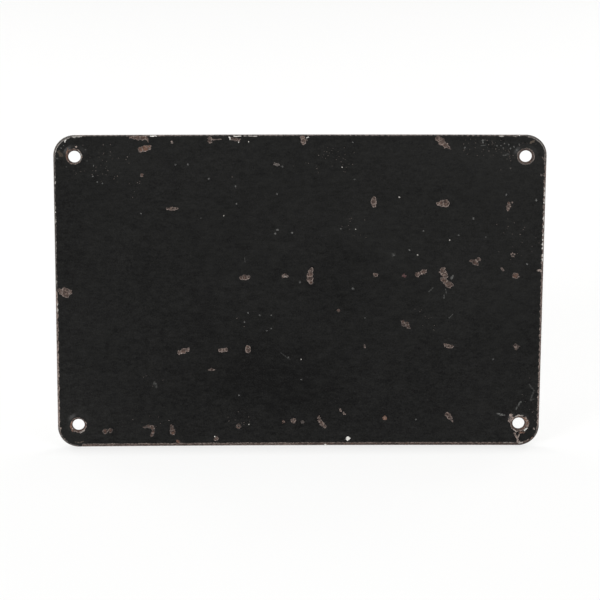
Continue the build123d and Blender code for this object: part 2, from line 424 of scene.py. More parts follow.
          (266.7, 331, 0.8), (271.3, 328.7, 0.8), (288.5, 357.4, 0.8), (155.8, 383.5, 0.8), (493, 359, 0.9),
          (415.7, 419.2, 0.9), (496.9, 145.4, 0.7), (501, 145.3, 0.7),
          (516.5, 149.3, 0.7), (503, 147.6, 0.6), (519, 143.5, 0.7)),
    *dots("shallow", 0.65, (504.4, 142.8, 0.75), (508.6, 144.4, 0.8), (510.2, 147.9, 0.8), (513.7, 146.4, 0.75)),
    Chip("upper_left_brown_dot", (172, 142, 1.5), kind="shallow", pale=0.8),
    Chip("lower_right_pale_dot", (533.8, 428, 1.2), kind="shallow", warmth=0.15, pale=0.75),
    *dots("shallow", 1.0, (223.7, 215.6, 0.7), (342, 167.2, 0.8), (399.3, 197, 0.9), (355.7, 229.3, 0.65),
          (449.6, 240, 0.8), (417.4, 254.8, 0.75), (301.2, 359.5, 0.7), (249, 424.5, 0.65)),
]


class RimWear:
    """A stretch of worn edge. It starts and ends at a photo pixel along its side.

    It lies between begin and reach millimetres inside the edge, and its reach swells and shrinks by
    the share ragged over about a wavelength, in millimetres too.
    """

    kind = "rim"

    def __init__(self, name, side, start, end, reach, ragged=0.35, finish=RUSTED, pale=0.3, warmth=0.1, begin=0.0,
                 wavelength=3.2):
        self.side = side
        self.ends = (start, end)
        self.begin = begin
        self.reach = reach
        self.unevenness = ragged
        self.ragged = Waves(name, wavelength, 7)
        self.pale = pale
        self.warmth = warmth
        self.slope = min(0.6, 0.45 * reach)
        self.levels = ((0, BROKEN), (self.slope, RUSTED)) if finish == RUSTED else ((0, finish),)
        self.over = finish == BROKEN
        self.depth = 0.8 if finish == RUSTED else 0.3
        self.fine = 0.27

    def settle(self, outline):
        """Works out where the stretch lies on the outline."""
        self.outline = outline
        first, last = sorted(outline.place(self.side, end) for end in self.ends)
        self.middle, self.half_length = (first + last) / 2, (last - first) / 2
        corners = [outline.point(s, 0) for s in np.linspace(first, last, 9)]
        corners += [outline.point(s, 2.2 * self.reach + 0.5) for s in np.linspace(first, last, 9)]
        xs, zs = zip(*corners)
        self.box = (min(xs) - 0.6, min(zs) - 0.6, max(xs) + 0.6, max(zs) + 0.6)
        return self

    def field(self, x, z):
        """Signed distance to the lip of the worn edge, negative inside."""
        off = np.abs(self.outline.along(x, z) - self.middle)
        ending = np.clip((self.half_length - off) / 0.8 + 0.5, 0, 1)
        reach = self.reach * ending * (1 + self.unevenness * self.ragged.at(x, z))
        inset = self.outline.inset(x, z)
        return np.maximum(inset - reach, self.begin - inset)


class HoleWear:
    """Glaze broken off round a screw hole by the screw's head or the wall."""

    def __init__(self, name, place, reach, slope, ragged, shift=(0, 0), warmth=0.3, pale=0.3):
        self.kind = "hole"
        self.middle = place[0] + shift[0], place[1] + shift[1]
        self.reach = reach
        self.unevenness = ragged
        self.ragged = Waves(name, 3.0, 6)
        self.slope = slope
        self.warmth = warmth
        self.pale = pale
        self.levels = ((0, BROKEN), (slope, RUSTED))
        self.over = False
        self.depth = 0.7
        self.fine = 0.27
        side = reach + 2
        self.box = (self.middle[0] - side, self.middle[1] - side, self.middle[0] + side, self.middle[1] + side)

    def field(self, x, z):
        """Signed distance to the lip of the broken glaze, negative inside."""
        off = np.hypot(x - self.middle[0], z - self.middle[1])
        return off - self.reach - self.unevenness * self.ragged.at(x, z)


RIM_WEAR = [
    RimWear("bottom_left", "bottom", 82, 300, 2.1, 0.1, pale=0.5, warmth=0.2),
    RimWear("bottom_right", "bottom", 298, 532, 2.2, 0.06, pale=0.22, warmth=0.25),
    RimWear("lower_right_corner", "lower_right", 0, 1, 1.1, 0.5, pale=0.3),
    RimWear("right", "right", 150, 434, 1.25, 0.4, pale=0.75, warmth=0.25),
    RimWear("upper_right_corner", "upper_right", 0, 1, 0.8, 0.3, pale=0.1),
    RimWear("top", "top", 74, 526, 0.45, 0.7, pale=0.4, warmth=0.2),
    RimWear("upper_left_corner", "upper_left", 0, 1, 0.8, 0.3, pale=0.1),
    RimWear("left_high", "left", 147, 158, 1.3, 0.2, pale=0.6),
    RimWear("left", "left", 156, 290, 0.95, 0.35, pale=0.2),
    RimWear("left_low", "left", 290, 434, 1.25, 0.3, pale=0.7, warmth=0.25),
    RimWear("lower_left_corner", "lower_left", 0, 1, 1.1, 0.4, pale=0.35),
    RimWear("upper_left_arc", "upper_left", 0.12, 0.9, 1.3, 0.12, BROKEN, pale=0.9, begin=0.85),
    RimWear("upper_right_arc", "upper_right", 0.1, 0.95, 1.15, 0.15, BROKEN, pale=0.85, begin=0.75),
    RimWear("right_top", "right", 150, 165, 1.4, 0.2, BROKEN, pale=0.7, begin=0.3),
    RimWear("top_left_strip", "top", 71.8, 82.5, 1.15, 0.3, BROKEN, pale=0.95, begin=0.5),
    RimWear("top_right_strip", "top", 498.8, 503.8, 1.1, 0.3, BROKEN, pale=0.95, begin=0.4),
    RimWear("top_right_dashes", "top", 511.8, 518.3, 0.9, 0.5, BROKEN, pale=0.7, begin=0.4),
    RimWear("top_right_fleck", "top", 518.8, 520, 0.7, 0.3, WHITE, begin=0.2),
    RimWear("bottom_pale_right", "bottom", 502, 514, 2.1, 0.15, BROKEN, pale=0.8, begin=1.5),
    RimWear("bottom_white_right", "bottom", 518, 524, 1.9, 0.15, BROKEN, pale=0.95, begin=1.2),
    RimWear("bottom_fleck", "bottom", 324, 326.6, 0.9, 0.2, WHITE, begin=0.3),
    RimWear("top_white_left", "top", 149.5, 157, 0.85, 0.4, WHITE, begin=0.3),
    RimWear("top_white_one", "top", 229, 241.5, 1.1, 0.3, WHITE, begin=0.55),
    RimWear("top_white_two", "top", 243, 258, 0.95, 0.4, BROKEN, pale=0.97, begin=0.6),
    RimWear("right_white_high", "right", 187, 204, 0.75, 0.7, WHITE, begin=0.4),
    RimWear("right_white_one", "right", 211, 222, 0.75, 0.8, WHITE, begin=0.45),
    RimWear("right_white_two", "right", 225, 228.6, 1.1, 0.4, WHITE, begin=0.5),
    RimWear("right_white_three", "right", 232, 236.2, 1.1, 0.4, WHITE, begin=0.5),
    RimWear("right_white_four", "right", 239, 250, 1.0, 0.6, WHITE, begin=0.5),
    RimWear("right_white_low", "right", 254, 262, 0.8, 0.7, WHITE, begin=0.4),
    RimWear("left_pale_high", "left", 175, 184, 0.95, 0.7, BROKEN, pale=0.95, begin=0.5),
    RimWear("left_pale_two", "left", 202, 209, 0.85, 0.7, BROKEN, pale=0.95, begin=0.5),
    RimWear("left_white_middle", "left", 210.5, 213.5, 0.95, 0.3, WHITE, begin=0.5),
    RimWear("left_pale_three", "left", 215, 223, 0.85, 0.8, BROKEN, pale=0.95, begin=0.5),
    RimWear("left_pale_four", "left", 240, 258, 0.75, 0.9, BROKEN, pale=0.85, begin=0.45),
    RimWear("left_pale_five", "left", 279, 286, 0.8, 0.7, BROKEN, pale=0.9, begin=0.45),
    RimWear("left_white_low", "left", 300, 311, 0.9, 0.8, BROKEN, pale=0.97, begin=0.5),
]


# Broad soft areas, each (across, down, reach across, reach down, strength) in photo pixels: where dust and
# painted sheen make the black glaze lighter or darker than elsewhere, and where specks crowd

FILM_AND_SHEEN_AREAS = (
    (105, 160, 42, 16, 1.1), (150, 155, 70, 9, 0.5), (66, 235, 14, 70, -1.2), (338, 258, 26, 55, -1.2),
    (160, 262, 45, 30, -0.9), (285, 160, 60, 18, 0.6), (515, 160, 44, 22, 1.3), (450, 160, 70, 22, 0.9),
    (352, 226, 16, 12, 1.9), (378, 240, 15, 7, 1.6), (392, 256, 9, 7, 1.4), (515, 240, 34, 50, 0.4),
    (80, 330, 30, 30, 0.4), (66, 400, 22, 40, 0.6), (200, 325, 50, 30, -0.9), (268, 366, 60, 30, -1.5),
    (262, 350, 12, 34, -0.5), (460, 350, 60, 24, -1.0), (440, 385, 60, 18, -0.3), (262, 196, 40, 34, -0.5),
    (320, 305, 60, 24, -0.6), (396, 190, 20, 20, -0.3), (300, 215, 14, 40, 0.3), (490, 170, 75, 40, 0.7),
    (300, 190, 320, 60, 0.3), (528, 230, 40, 90, 0.35), (306, 182, 25, 14, 0.4), (422, 212, 22, 18, 0.4),
    # (78, 426), (538, 155), (63, 148) and (79, 425) are painted sheen on the lower left, upper right and upper left
    # collars
    (246, 385, 60, 50, -0.5), (300, 141, 270, 9, 0.7), (150, 160, 90, 20, 0.3), (78, 426, 15, 17, 1.2),
    (505, 285, 50, 14, 0.5), (56, 290, 14, 14, 0.5), (538, 155, 12, 18, 2.0), (63, 148, 13, 13, 1.9),
    (79, 425, 20, 20, 0.6), (440, 150, 60, 10, 1.2), (290, 395, 75, 35, -0.45),
    (300, 205, 330, 95, 0.7), (375, 226, 60, 24, 0.5), (485, 300, 60, 40, 0.5), (300, 395, 130, 45, -0.9),
)
SPECK_AREAS = (
    (98, 172, 20, 11, 0.5), (130, 185, 14, 12, 0.3), (75, 148, 12, 10, 0.3), (490, 147, 26, 8, 0.9),
    (512, 160, 16, 10, 0.3), (528, 148, 12, 8, 0.3), (330, 153, 24, 1.6, 1.2), (344, 166, 5, 6, 1.0),
    (517, 236, 18, 20, 0.35),
    (430, 318, 14, 12, 0.25), (236, 183, 8, 8, 0.4), (244, 316, 8, 10, 0.3), (160, 420, 30, 12, 0.2),
    (240, 420, 10, 7, 0.5), (355, 228, 12, 9, 0.5), (150, 380, 10, 8, 0.4), (530, 400, 8, 30, 0.3),
    (320, 166, 22, 9, 0.4), (105, 156, 24, 10, 0.3),
)


def areas(places, listed):
    """The summed strength of soft areas at each place, (x, z) in millimetres."""
    total = np.zeros(len(places))
    for across, down, wide, high, strength in listed:
        x, z = PhotoCamera.on_reverse(across, down)
        off = ((places[:, 0] - x) / (wide * PIXEL)) ** 2 + ((places[:, 1] - z) / (high * PIXEL)) ** 2
        total += strength * np.exp(-off)
    return total


# The flat layout

class Outline:
    """The edge of the sheet as a path that runs anticlockwise, seen on the reverse, in millimetres.

    The middle of the sheet lies drop below the middle of the holes.
    """

    def __init__(self, width, height, corner, drop):
        self.drop = drop
        self.half = (width / 2, height / 2)
        self.corner = corner
        self.flat = (width - 2 * corner, height - 2 * corner)
        self.arc = corner * pi / 2
        names = ("bottom", "lower_right", "right", "upper_right", "top", "upper_left", "left", "lower_left")
        lengths = (self.flat[0], self.arc, self.flat[1], self.arc) * 2
        self.starts = {}
        self.length = 0.0
        for name, run in zip(names, lengths):
            self.starts[name] = (self.length, run)
            self.length += run

    def inset(self, x, z):
        """Distance inwards from the edge."""
        across = np.abs(x) - (self.half[0] - self.corner)
        up = np.abs(z + self.drop) - (self.half[1] - self.corner)
        outside = np.hypot(np.maximum(across, 0), np.maximum(up, 0))
        return self.corner - outside - np.minimum(np.maximum(across, up), 0)

    def outwards(self, x, z):
        """The direction towards the nearest point of the edge."""
        z = z + self.drop
        across = np.maximum(np.abs(x) - (self.half[0] - self.corner), 0)
        up = np.maximum(np.abs(z) - (self.half[1] - self.corner), 0)
        size = np.maximum(np.hypot(across, up), 1e-9)
        return np.sign(x) * across / size, np.sign(z) * up / size

    def along(self, x, z):
        """Distance along the edge of the point of it that is nearest."""
        kx, kz = self.half[0] - self.corner, self.half[1] - self.corner
        arc = self.corner
        result = np.zeros(np.shape(x))
        bottom, right = self.starts["bottom"][0], self.starts["right"][0]
        top, left = self.starts["top"][0], self.starts["left"][0]
        inset = self.inset(x, z)
        z = z + self.drop
        near_bottom = self.half[1] + z - inset < 1e-6
        near_top = self.half[1] - z - inset < 1e-6
        near_right = self.half[0] - x - inset < 1e-6
        result = np.where(near_bottom, bottom + x + kx, result)
        result = np.where(near_right, right + z + kz, result)
        result = np.where(near_top, top + kx - x, result)
        result = np.where(~(near_bottom | near_top | near_right), left + kz - z, result)
        corners = (("lower_right", 1, -1, -pi / 2), ("upper_right", 1, 1, 0),
                   ("upper_left", -1, 1, pi / 2), ("lower_left", -1, -1, pi))
        for name, sx, sz, start in corners:
            here = (x * sx > kx) & (z * sz > kz)
            turn = np.mod(np.arctan2(z - sz * kz, x - sx * kx) - start, tau)
            result = np.where(here, self.starts[name][0] + arc * turn, result)
        return result

    def point(self, along, inset):
        """The point that lies inset inwards from the edge at that distance along it."""
        along = along % self.length
        kx, kz = self.half[0] - self.corner, self.half[1] - self.corner
        for name, (start, run) in self.starts.items():
            if along <= start + run:
                break
        on = along - start
        if name == "bottom":
            return -kx + on, -self.half[1] + inset - self.drop
        if name == "right":
            return self.half[0] - inset, -kz + on - self.drop
        if name == "top":
            return kx - on, self.half[1] - inset - self.drop
        if name == "left":
            return -self.half[0] + inset, kz - on - self.drop
        sx, sz, first = {
            "lower_right": (1, -1, -pi / 2), "upper_right": (1, 1, 0),
            "upper_left": (-1, 1, pi / 2), "lower_left": (-1, -1, pi),
        }[name]
        turn = first + on / self.corner
        radius = self.corner - inset
        return sx * kx + radius * cos(turn), sz * kz + radius * sin(turn) - self.drop

    def place(self, side, pixel):
        """Distance along the edge of a photo pixel on a straight side, or of a share of a corner."""
        start, run = self.starts[side]
        if "_" in side:
            return start + run * pixel
        kx, kz = self.half[0] - self.corner, self.half[1] - self.corner
        if side == "bottom":
            return start + kx + PhotoCamera.on_reverse(pixel, BOTTOM_ROW)[0]
        if side == "top":
            return start + kx - PhotoCamera.on_reverse(pixel, TOP_ROW)[0]
        z = PhotoCamera.on_reverse(MIDDLE_COLUMN, pixel)[1] + self.drop
        return start + kz + z if side == "right" else start + kz - z


def traced(field, xs, zs, step):
    """The closed lines where a field on a grid is zero, with the negative side on their left."""
    inside = field < 0
    cells = inside[:-1, :-1].astype(int) + inside[1:, :-1] + inside[1:, 1:] + inside[:-1, 1:]
    ahead = {}
    spots = {}

    def crossing(i0, j0, i1, j1):
        """The key of the place where the line crosses the grid between two of its points."""
        low, high = ((i0, j0), (i1, j1)) if (i0, j0) < (i1, j1) else ((i1, j1), (i0, j0))
        key = (low, high)
        if key not in spots:
            a, b = field[low], field[high]
            share = a / (a - b)
            spots[key] = (
                xs[low[0]] + share * (xs[high[0]] - xs[low[0]]), zs[low[1]] + share * (zs[high[1]] - zs[low[1]])
            )
        return key

    for i, j in zip(*np.nonzero((cells > 0) & (cells < 4))):
        i, j = int(i), int(j)
        corners = [(i, j), (i + 1, j), (i + 1, j + 1), (i, j + 1)]
        leaving, entering = [], []
        for number in range(4):
            a, b = corners[number], corners[(number + 1) % 4]
            if inside[a] and not inside[b]:
                leaving.append((number, crossing(*a, *b)))
            elif inside[b] and not inside[a]:
                entering.append((number, crossing(*a, *b)))
        if len(leaving) == 1:
            ahead[leaving[0][1]] = entering[0][1]
            continue
        middle = sum(field[c] for c in corners) < 0
        for number, key in leaving:
            wanted = (number + 1) % 4 if middle else (number - 1) % 4
            ahead[key] = next(other for place, other in entering if place == wanted)
    loops = []
    while ahead:
        first, key = ahead.popitem()
        line = [spots[first]]
        while key != first and key in ahead:
            line.append(spots[key])
            key = ahead.pop(key)
        if key == first:
            loops.append(spaced(line, step))
    return [loop for loop in loops if loop is not None]


def spaced(line, step):
    """The closed line with its points one step apart, or None if it is too small to show."""
    points = np.array(line + line[:1])
    runs = np.hypot(*np.diff(points, axis=0).T)
    travelled = np.concatenate([[0], np.cumsum(runs)])
    count = int(travelled[-1] / step)
    if count < 5:
        return None
    places = np.linspace(0, travelled[-1], count, endpoint=False)
    return list(zip(np.interp(places, travelled, points[:, 0]), np.interp(places, travelled, points[:, 1])))


def turns_left(loop):
    """True if the closed line runs anticlockwise."""
    return sum(x0 * z1 - x1 * z0 for (x0, z0), (x1, z1) in zip(loop, loop[1:] + loop[:1])) > 0


class Layout:
    """One face of the sheet, laid out flat and cut into triangles along every line of wear."""

    RINGS = (0.04, 0.14, 0.3, 0.5, 0.74, 1.0, 1.25)
    CLEAR = 0.06  # wear stops this far inside the outermost ring, so both faces share one edge
    HOLE_MARGIN = 0.36  # and this far outside a hole
    EDGE_STEP = 1.1
    COLLAR_RINGS = (4.6, 5.0, 5.4, 5.8, 6.2, 6.8, 7.4, 7.9, 8.4, 9.0)
    HOLE_SIDES = 84
    GRID = 3.0
    GRID_CLEAR_OF_HOLE, GRID_CLEAR_OF_EDGE = 9.5, 2

    def __init__(self, sizes, outline, holes):
        self.sizes = sizes
        self.outline = outline
        self.holes = holes
        self.points = []
        self.edges = []
        self.faces = []
        self.tags = []
        self.shared = {}

    def line(self, loop, tag=None):
        """Adds a closed line. With a tag, the triangles inside it are told so."""
        first = len(self.points)
        numbers = list(range(first, first + len(loop)))
        self.points.extend(loop)
        if tag is None:
            self.edges.extend(zip(numbers, numbers[1:] + numbers[:1]))
        else:
            sign = 1
            if not turns_left(loop):
                numbers.reverse()
                sign = -1
            self.faces.append(numbers)
            self.tags.append((*tag, sign))
        return numbers

    def edge_rings(self):
        """The outline, and the lines that carry the rounding of the edge."""
        stops = []
        for start, run in self.outline.starts.values():
            count = round(run / self.EDGE_STEP)
            stops.extend(start + run * number / count for number in range(count))
        self.shared["edge"] = self.line([self.outline.point(s, 0) for s in stops])
        for inset in self.RINGS:
            self.line([self.outline.point(s, inset) for s in stops])

    def hole_rings(self, hole, bevel):
        """The holes, and the lines that carry the shape of the collars."""
        turns = [tau * k / self.HOLE_SIDES for k in range(self.HOLE_SIDES)]
        for number, (x, z) in enumerate(self.holes):
            for radius in (hole, hole + bevel, *self.COLLAR_RINGS):
                numbers = self.line([(x + radius * cos(turn), z + radius * sin(turn)) for turn in turns])
                if radius == hole:
                    self.shared[number] = numbers

    def grid(self):
        """Loose points that carry the dish between the lines."""
        half = self.outline.half
        for x in np.arange(-half[0] + self.GRID, half[0], self.GRID):
            for z in np.arange(-half[1] + self.GRID, half[1], self.GRID) - self.outline.drop:
                off_holes = all(hypot(x - hx, z - hz) > self.GRID_CLEAR_OF_HOLE for hx, hz in self.holes)
                if off_holes and self.outline.inset(x, z) > self.GRID_CLEAR_OF_EDGE:
                    self.points.append((x, z))

    def wear(self, owner, fault):
        """Adds the lines where a fault's finish changes, cut off near the edge of the sheet."""
        left, low, right, high = fault.box
        xs = np.arange(left, right + fault.fine, fault.fine)
        zs = np.arange(low, high + fault.fine, fault.fine)
        grid_x, grid_z = np.meshgrid(xs, zs, indexing="ij")
        values = fault.field(grid_x, grid_z)
        edge = self.CLEAR - self.outline.inset(grid_x, grid_z)
        stop = self.sizes.hole_diameter / 2 / MILLIMETRE + self.HOLE_MARGIN
        for hx, hz in self.holes:
            edge = np.maximum(edge, stop - np.hypot(grid_x - hx, grid_z - hz))
        for level, (slope, _) in enumerate(fault.levels):
            inner = np.maximum(values + slope, edge)
            if level and isinstance(fault, Chip):
                inner = np.maximum(inner, fault.wall(grid_x, grid_z))
            for loop in traced(inner, xs, zs, 1.4 * fault.fine):
                self.line(loop, (owner, level))

    def cut(self):
        """Triangulates the layout. Gives points, triangles, what holds each triangle, and the shared lines."""
        flat = [Vector(p) for p in self.points]
        points, _, faces, originals, _, inside = delaunay_2d_cdt(flat, self.edges, self.faces, 0, 2e-3, True)
        place = {}
        for number, sources in enumerate(originals):
            for source in sources:
                place[source] = number
        xz = np.array([tuple(p) for p in points])
        triangles = np.array([tuple(f) for f in faces])
        middle = xz[triangles].mean(axis=1)
        keep = self.outline.inset(middle[:, 0], middle[:, 1]) > 0
        radius = self.sizes.hole_diameter / 2 / MILLIMETRE
        for hx, hz in self.holes:
            keep &= np.hypot(middle[:, 0] - hx, middle[:, 1] - hz) > radius * 0.9994
        held = [[self.tags[f] for f in inside[n]] for n in np.nonzero(keep)[0]]
        shared = {name: [place[n] for n in numbers] for name, numbers in self.shared.items()}
        return xz, triangles[keep], middle[keep], held, shared


class Face:
    """One face of the sheet, with everything that the pressed mesh needs to know of each point."""

    def __init__(self, sizes, outline, holes, faults, base, through):
        plan = Layout(sizes, outline, holes)
        plan.edge_rings()
        hole = sizes.hole_diameter / 2 / MILLIMETRE
        bevel = sizes.hole_chamfer / MILLIMETRE
        plan.hole_rings(hole, bevel)
        plan.grid()
        for owner, fault in enumerate(faults):
            plan.wear(owner, fault)
        self.xz, self.triangles, middle, held, self.shared = plan.cut()
        self.faults = faults
        x, z = self.xz.T
        rounding = sizes.edge_rounding / MILLIMETRE
        thickness = sizes.thickness / MILLIMETRE
        inset = outline.inset(x, z)
        share = np.clip(1 - inset / rounding, 0, 1)
        sunk = rounding * (1 - np.sqrt(1 - share**2))
        self.to_edge = np.clip(1 - inset / 2, 0, 1)
        pit = np.zeros(len(x))
        self.marks = {"scuff": np.zeros(len(x)), "stain": np.zeros(len(x))}
        for hx, hz in holes:
            sunk = np.maximum(sunk, np.clip(hole + bevel - np.hypot(x - hx, z - hz), 0, bevel))
        self.layer = sunk / thickness if through == 0 else 1 - sunk / thickness
        for fault in faults:
            here = self.within(fault, self.xz)
            inside = np.clip(-fault.field(x[here], z[here]) / fault.slope, 0, 1)
            inside = inside * inside * (3 - 2 * inside)
            pit[here] = np.maximum(pit[here], fault.depth * inside * sizes.chip_depth)
            if fault.kind in self.marks:
                mark = self.marks[fault.kind]
                mark[here] = np.maximum(mark[here], inside * (0.4 + 0.6 * fault.pale))
        out_x, out_z = outline.outwards(x, z)
        nibble = share * (0.3 + 0.7 * np.clip(inset / (0.7 * rounding), 0, 1))
        deep = np.sqrt(1 - share**2) * (1 if through == 0 else -1)
        self.sink = np.stack([-out_x * nibble * pit, deep * pit, -out_z * nibble * pit], axis=1)
        self.finish = np.full(len(middle), base)
        self.warmth = np.full(len(middle), 0.2)
        self.pale = np.full(len(middle), 0.4)
        for number, tags in enumerate(held):
            inside = {}
            for owner, level, sign in tags:
                inside[owner, level] = inside.get((owner, level), 0) + sign
            self.paint(number, [key for key, count in inside.items() if count > 0], base)
        rim = np.nonzero(outline.inset(middle[:, 0], middle[:, 1]) < plan.CLEAR)[0]
        for number, keys in zip(rim, self.at(middle[rim])):
            self.paint(number, keys, base)
        for hx, hz in holes:
            bevelled = np.hypot(middle[:, 0] - hx, middle[:, 1] - hz) < hole + bevel + 0.01
            self.finish[bevelled] = RUSTED
            self.warmth[bevelled] = 0.3
            self.pale[bevelled] = 0.1

    def within(self, fault, places):
        """Which places lie in a fault's box."""
        left, low, right, high = fault.box
        x, z = places.T
        return (x > left) & (x < right) & (z > low) & (z < high)

    def at(self, places):
        """The (fault, level) pairs that hold each place."""
        keys = [[] for _ in places]
        for owner, fault in enumerate(self.faults):
            here = np.nonzero(self.within(fault, places))[0]
            if len(here):
                values = fault.field(places[here, 0], places[here, 1])
                for level, (slope, _) in enumerate(fault.levels):
                    for number in here[values + slope < 0]:
                        keys[number].append((owner, level))
        return keys

    def chosen(self, keys, base):
        """The finish, warmth and paleness where those faults meet: a crumb shows, or else the deepest one."""
        best = (False, base if base == BLACK else -1)
        look = (base, 0.2, 0.4)
        for owner, level in keys:
            fault = self.faults[owner]
            finish = fault.levels[level][1]
            if finish is not None and (fault.over, finish) >= best:
                best = (fault.over, finish)
                look = (finish, fault.warmth, fault.pale)
        return look

    def paint(self, number, keys, base):
        """Gives a triangle its finish."""
        self.finish[number], self.warmth[number], self.pale[number] = self.chosen(keys, base)


def hole_halves(sizes):
    """Half the distances between the holes, along X and Z, in metres."""
    insets = sizes.hole_inset_top + sizes.hole_inset_bottom
    return sizes.width / 2 - sizes.hole_inset_side, (sizes.height - insets) / 2


def store(mesh, name, kind, domain, values):
    """Gives the mesh a named attribute."""
    held = np.array(values, dtype=np.int32 if kind == "INT" else bool if kind == "BOOLEAN" else np.float32)
    key = "vector" if kind == "FLOAT_VECTOR" else "value"
    mesh.attributes.new(name, kind, domain).data.foreach_set(key, held.ravel())


def flat_sheet(sizes, materials):
    """The sheet's layout as a flat mesh, both faces and every wall between them."""
    drop = (sizes.hole_inset_bottom - sizes.hole_inset_top) / 2 / MILLIMETRE
    outline = Outline(sizes.width / MILLIMETRE, sizes.height / MILLIMETRE, sizes.corner_radius / MILLIMETRE, drop)
    hx, hz = (half / MILLIMETRE for half in hole_halves(sizes))
    holes = [(-hx, hz), (hx, hz), (-hx, -hz), (hx, -hz)]
    rim = [wear.settle(outline) for wear in RIM_WEAR]
    collars = [
        HoleWear("upper_left_hole", holes[0], 5.0, 0.5, 0.22, (-0.3, 0.34), 0.4, 0.4),
        HoleWear("upper_right_hole", holes[1], 5.3, 0.55, 0.25, (0.05, 0.1), 0.15, 0.6),
        HoleWear("lower_left_hole", holes[2], 5.0, 0.45, 0.3, (-0.2, -0.1), 0.5, 0.3),
        HoleWear("lower_right_hole", holes[3], 5.3, 0.5, 0.35, (0.1, 0), 0.5, 0.3),
    ]
    level, upright, corner = (70, 530), (150, 432), (0, 1)
    sides = (
        ("bottom", level), ("lower_right", corner), ("right", upright), ("upper_right", corner),
        ("top", level), ("upper_left", corner), ("left", upright), ("lower_left", corner),
    )
    front_rim = [
        RimWear("front_" + side, side, *ends, 0.22, 1.5, pale=0.2, wavelength=17).settle(outline)
        for side, ends in sides
    ]
    front_collars = [HoleWear(f"front_hole_{n}", place, 4.75, 0.3, 0.2) for n, place in enumerate(holes)]
    back = Face(sizes, outline, holes, CHIPS + rim + collars, BLACK, 0)
    front = Face(sizes, outline, holes, front_rim + front_collars, WHITE, 1)

    count = len(back.xz)
    points = np.concatenate([back.xz, front.xz])
    triangles = [tuple(t) for t in back.triangles] + [tuple(t[::-1] + count) for t in front.triangles]
    finish = list(back.finish) + list(front.finish)
    warmth = list(back.warmth) + list(front.warmth)
    pale = list(back.pale) + list(front.pale)
    near, far = back.shared["edge"], [number + count for number in front.shared["edge"]]
    places = np.array([back.xz[number] for number in near])
    land = back.at((places + np.roll(places, -1, axis=0)) / 2)
    for number, keys in enumerate(land):
        after = (number + 1) % len(near)
        triangles.append((near[number], far[number], far[after], near[after]))
        chosen = back.chosen(keys, BLACK)
        finish.append(chosen[0])
        warmth.append(chosen[1])
        pale.append(chosen[2])
    for hole in range(len(holes)):
        near, far = back.shared[hole], [number + count for number in front.shared[hole]]
        for number in range(len(near)):
            after = (number + 1) % len(near)
            triangles.append((near[number], near[after], far[after], far[number]))
            finish.append(RUSTED)
            warmth.append(0.35)
            pale.append(0.0)

    mesh = bpy.data.meshes.new("sign_sheet")
    mesh.from_pydata([(x * MILLIMETRE, 0, z * MILLIMETRE) for x, z in points], [], triangles)
    for material in materials:
        mesh.materials.append(material)
    for name, values in (
        ("layer", np.concatenate([back.layer, front.layer])),
        ("to_edge", np.concatenate([back.to_edge, front.to_edge * 0])),
        ("scuff", np.concatenate([back.marks["scuff"], front.marks["scuff"]])),
        ("stain", np.concatenate([back.marks["stain"], front.marks["stain"]])),
        ("film", np.concatenate([areas(back.xz, FILM_AND_SHEEN_AREAS), np.zeros(len(front.xz))])),
        ("crowd", np.concatenate([areas(back.xz, SPECK_AREAS), np.zeros(len(front.xz))])),
    ):
        store(mesh, name, "FLOAT", "POINT", values)
    store(mesh, "sink", "FLOAT_VECTOR", "POINT", np.concatenate([back.sink, front.sink]))
    store(mesh, "finish", "INT", "FACE", finish)
    store(mesh, "warmth", "FLOAT", "FACE", warmth)
    store(mesh, "pale", "FLOAT", "FACE", pale)
    sides = {}
    for polygon in mesh.polygons:
        for key in polygon.edge_keys:
            sides.setdefault(key, set()).add(finish[polygon.index])
    sharp = [len(sides[edge.key]) > 1 for edge in mesh.edges]
    store(mesh, "sharp_edge", "BOOLEAN", "EDGE", sharp)
    return mesh


# Node trees

def add(tree, kind, inputs=(), **settings):
    """Adds a node, sets it up and wires its inputs, which are values or other nodes' outputs."""
    made = tree.nodes.new(kind)
    for name, value in settings.items():
        setattr(made, name, value)
    for key, value in inputs.items() if isinstance(inputs, dict) else enumerate(inputs):
        if isinstance(value, bpy.types.NodeSocket):
            tree.links.new(value, made.inputs[key])
        else:
            made.inputs[key].default_value = value
    return made


def calc(tree, operation, *values, clamp=False):
    """The result of a Math node."""
    return add(tree, "ShaderNodeMath", values, operation=operation, use_clamp=clamp).outputs[0]


def stored(tree, name, kind="FLOAT"):
    """A named attribute of the geometry."""
    made = add(tree, "GeometryNodeInputNamedAttribute", {"Name": name}, data_type=kind)
    return next(socket for socket in made.outputs if socket.enabled and socket.name == "Attribute")


def new_tree(name, *sockets):
    """A geometry tree with named inputs, each (name, kind). Gives the tree and the inputs' sockets."""
    tree = bpy.data.node_groups.new(name, "GeometryNodeTree")
    tree.interface.new_socket(name="Geometry", in_out="OUTPUT", socket_type="NodeSocketGeometry")
    tree.interface.new_socket(name="Geometry", in_out="INPUT", socket_type="NodeSocketGeometry")
    for label, kind in sockets:
        tree.interface.new_socket(name=label, in_out="INPUT", socket_type="NodeSocket" + kind)
    return tree, tree.nodes.new("NodeGroupInput").outputs


def finish_tree(tree, geometry):
    """Wires the last node of a tree to its output."""
    output = tree.nodes.new("NodeGroupOutput")
    tree.links.new(geometry, output.inputs[0])


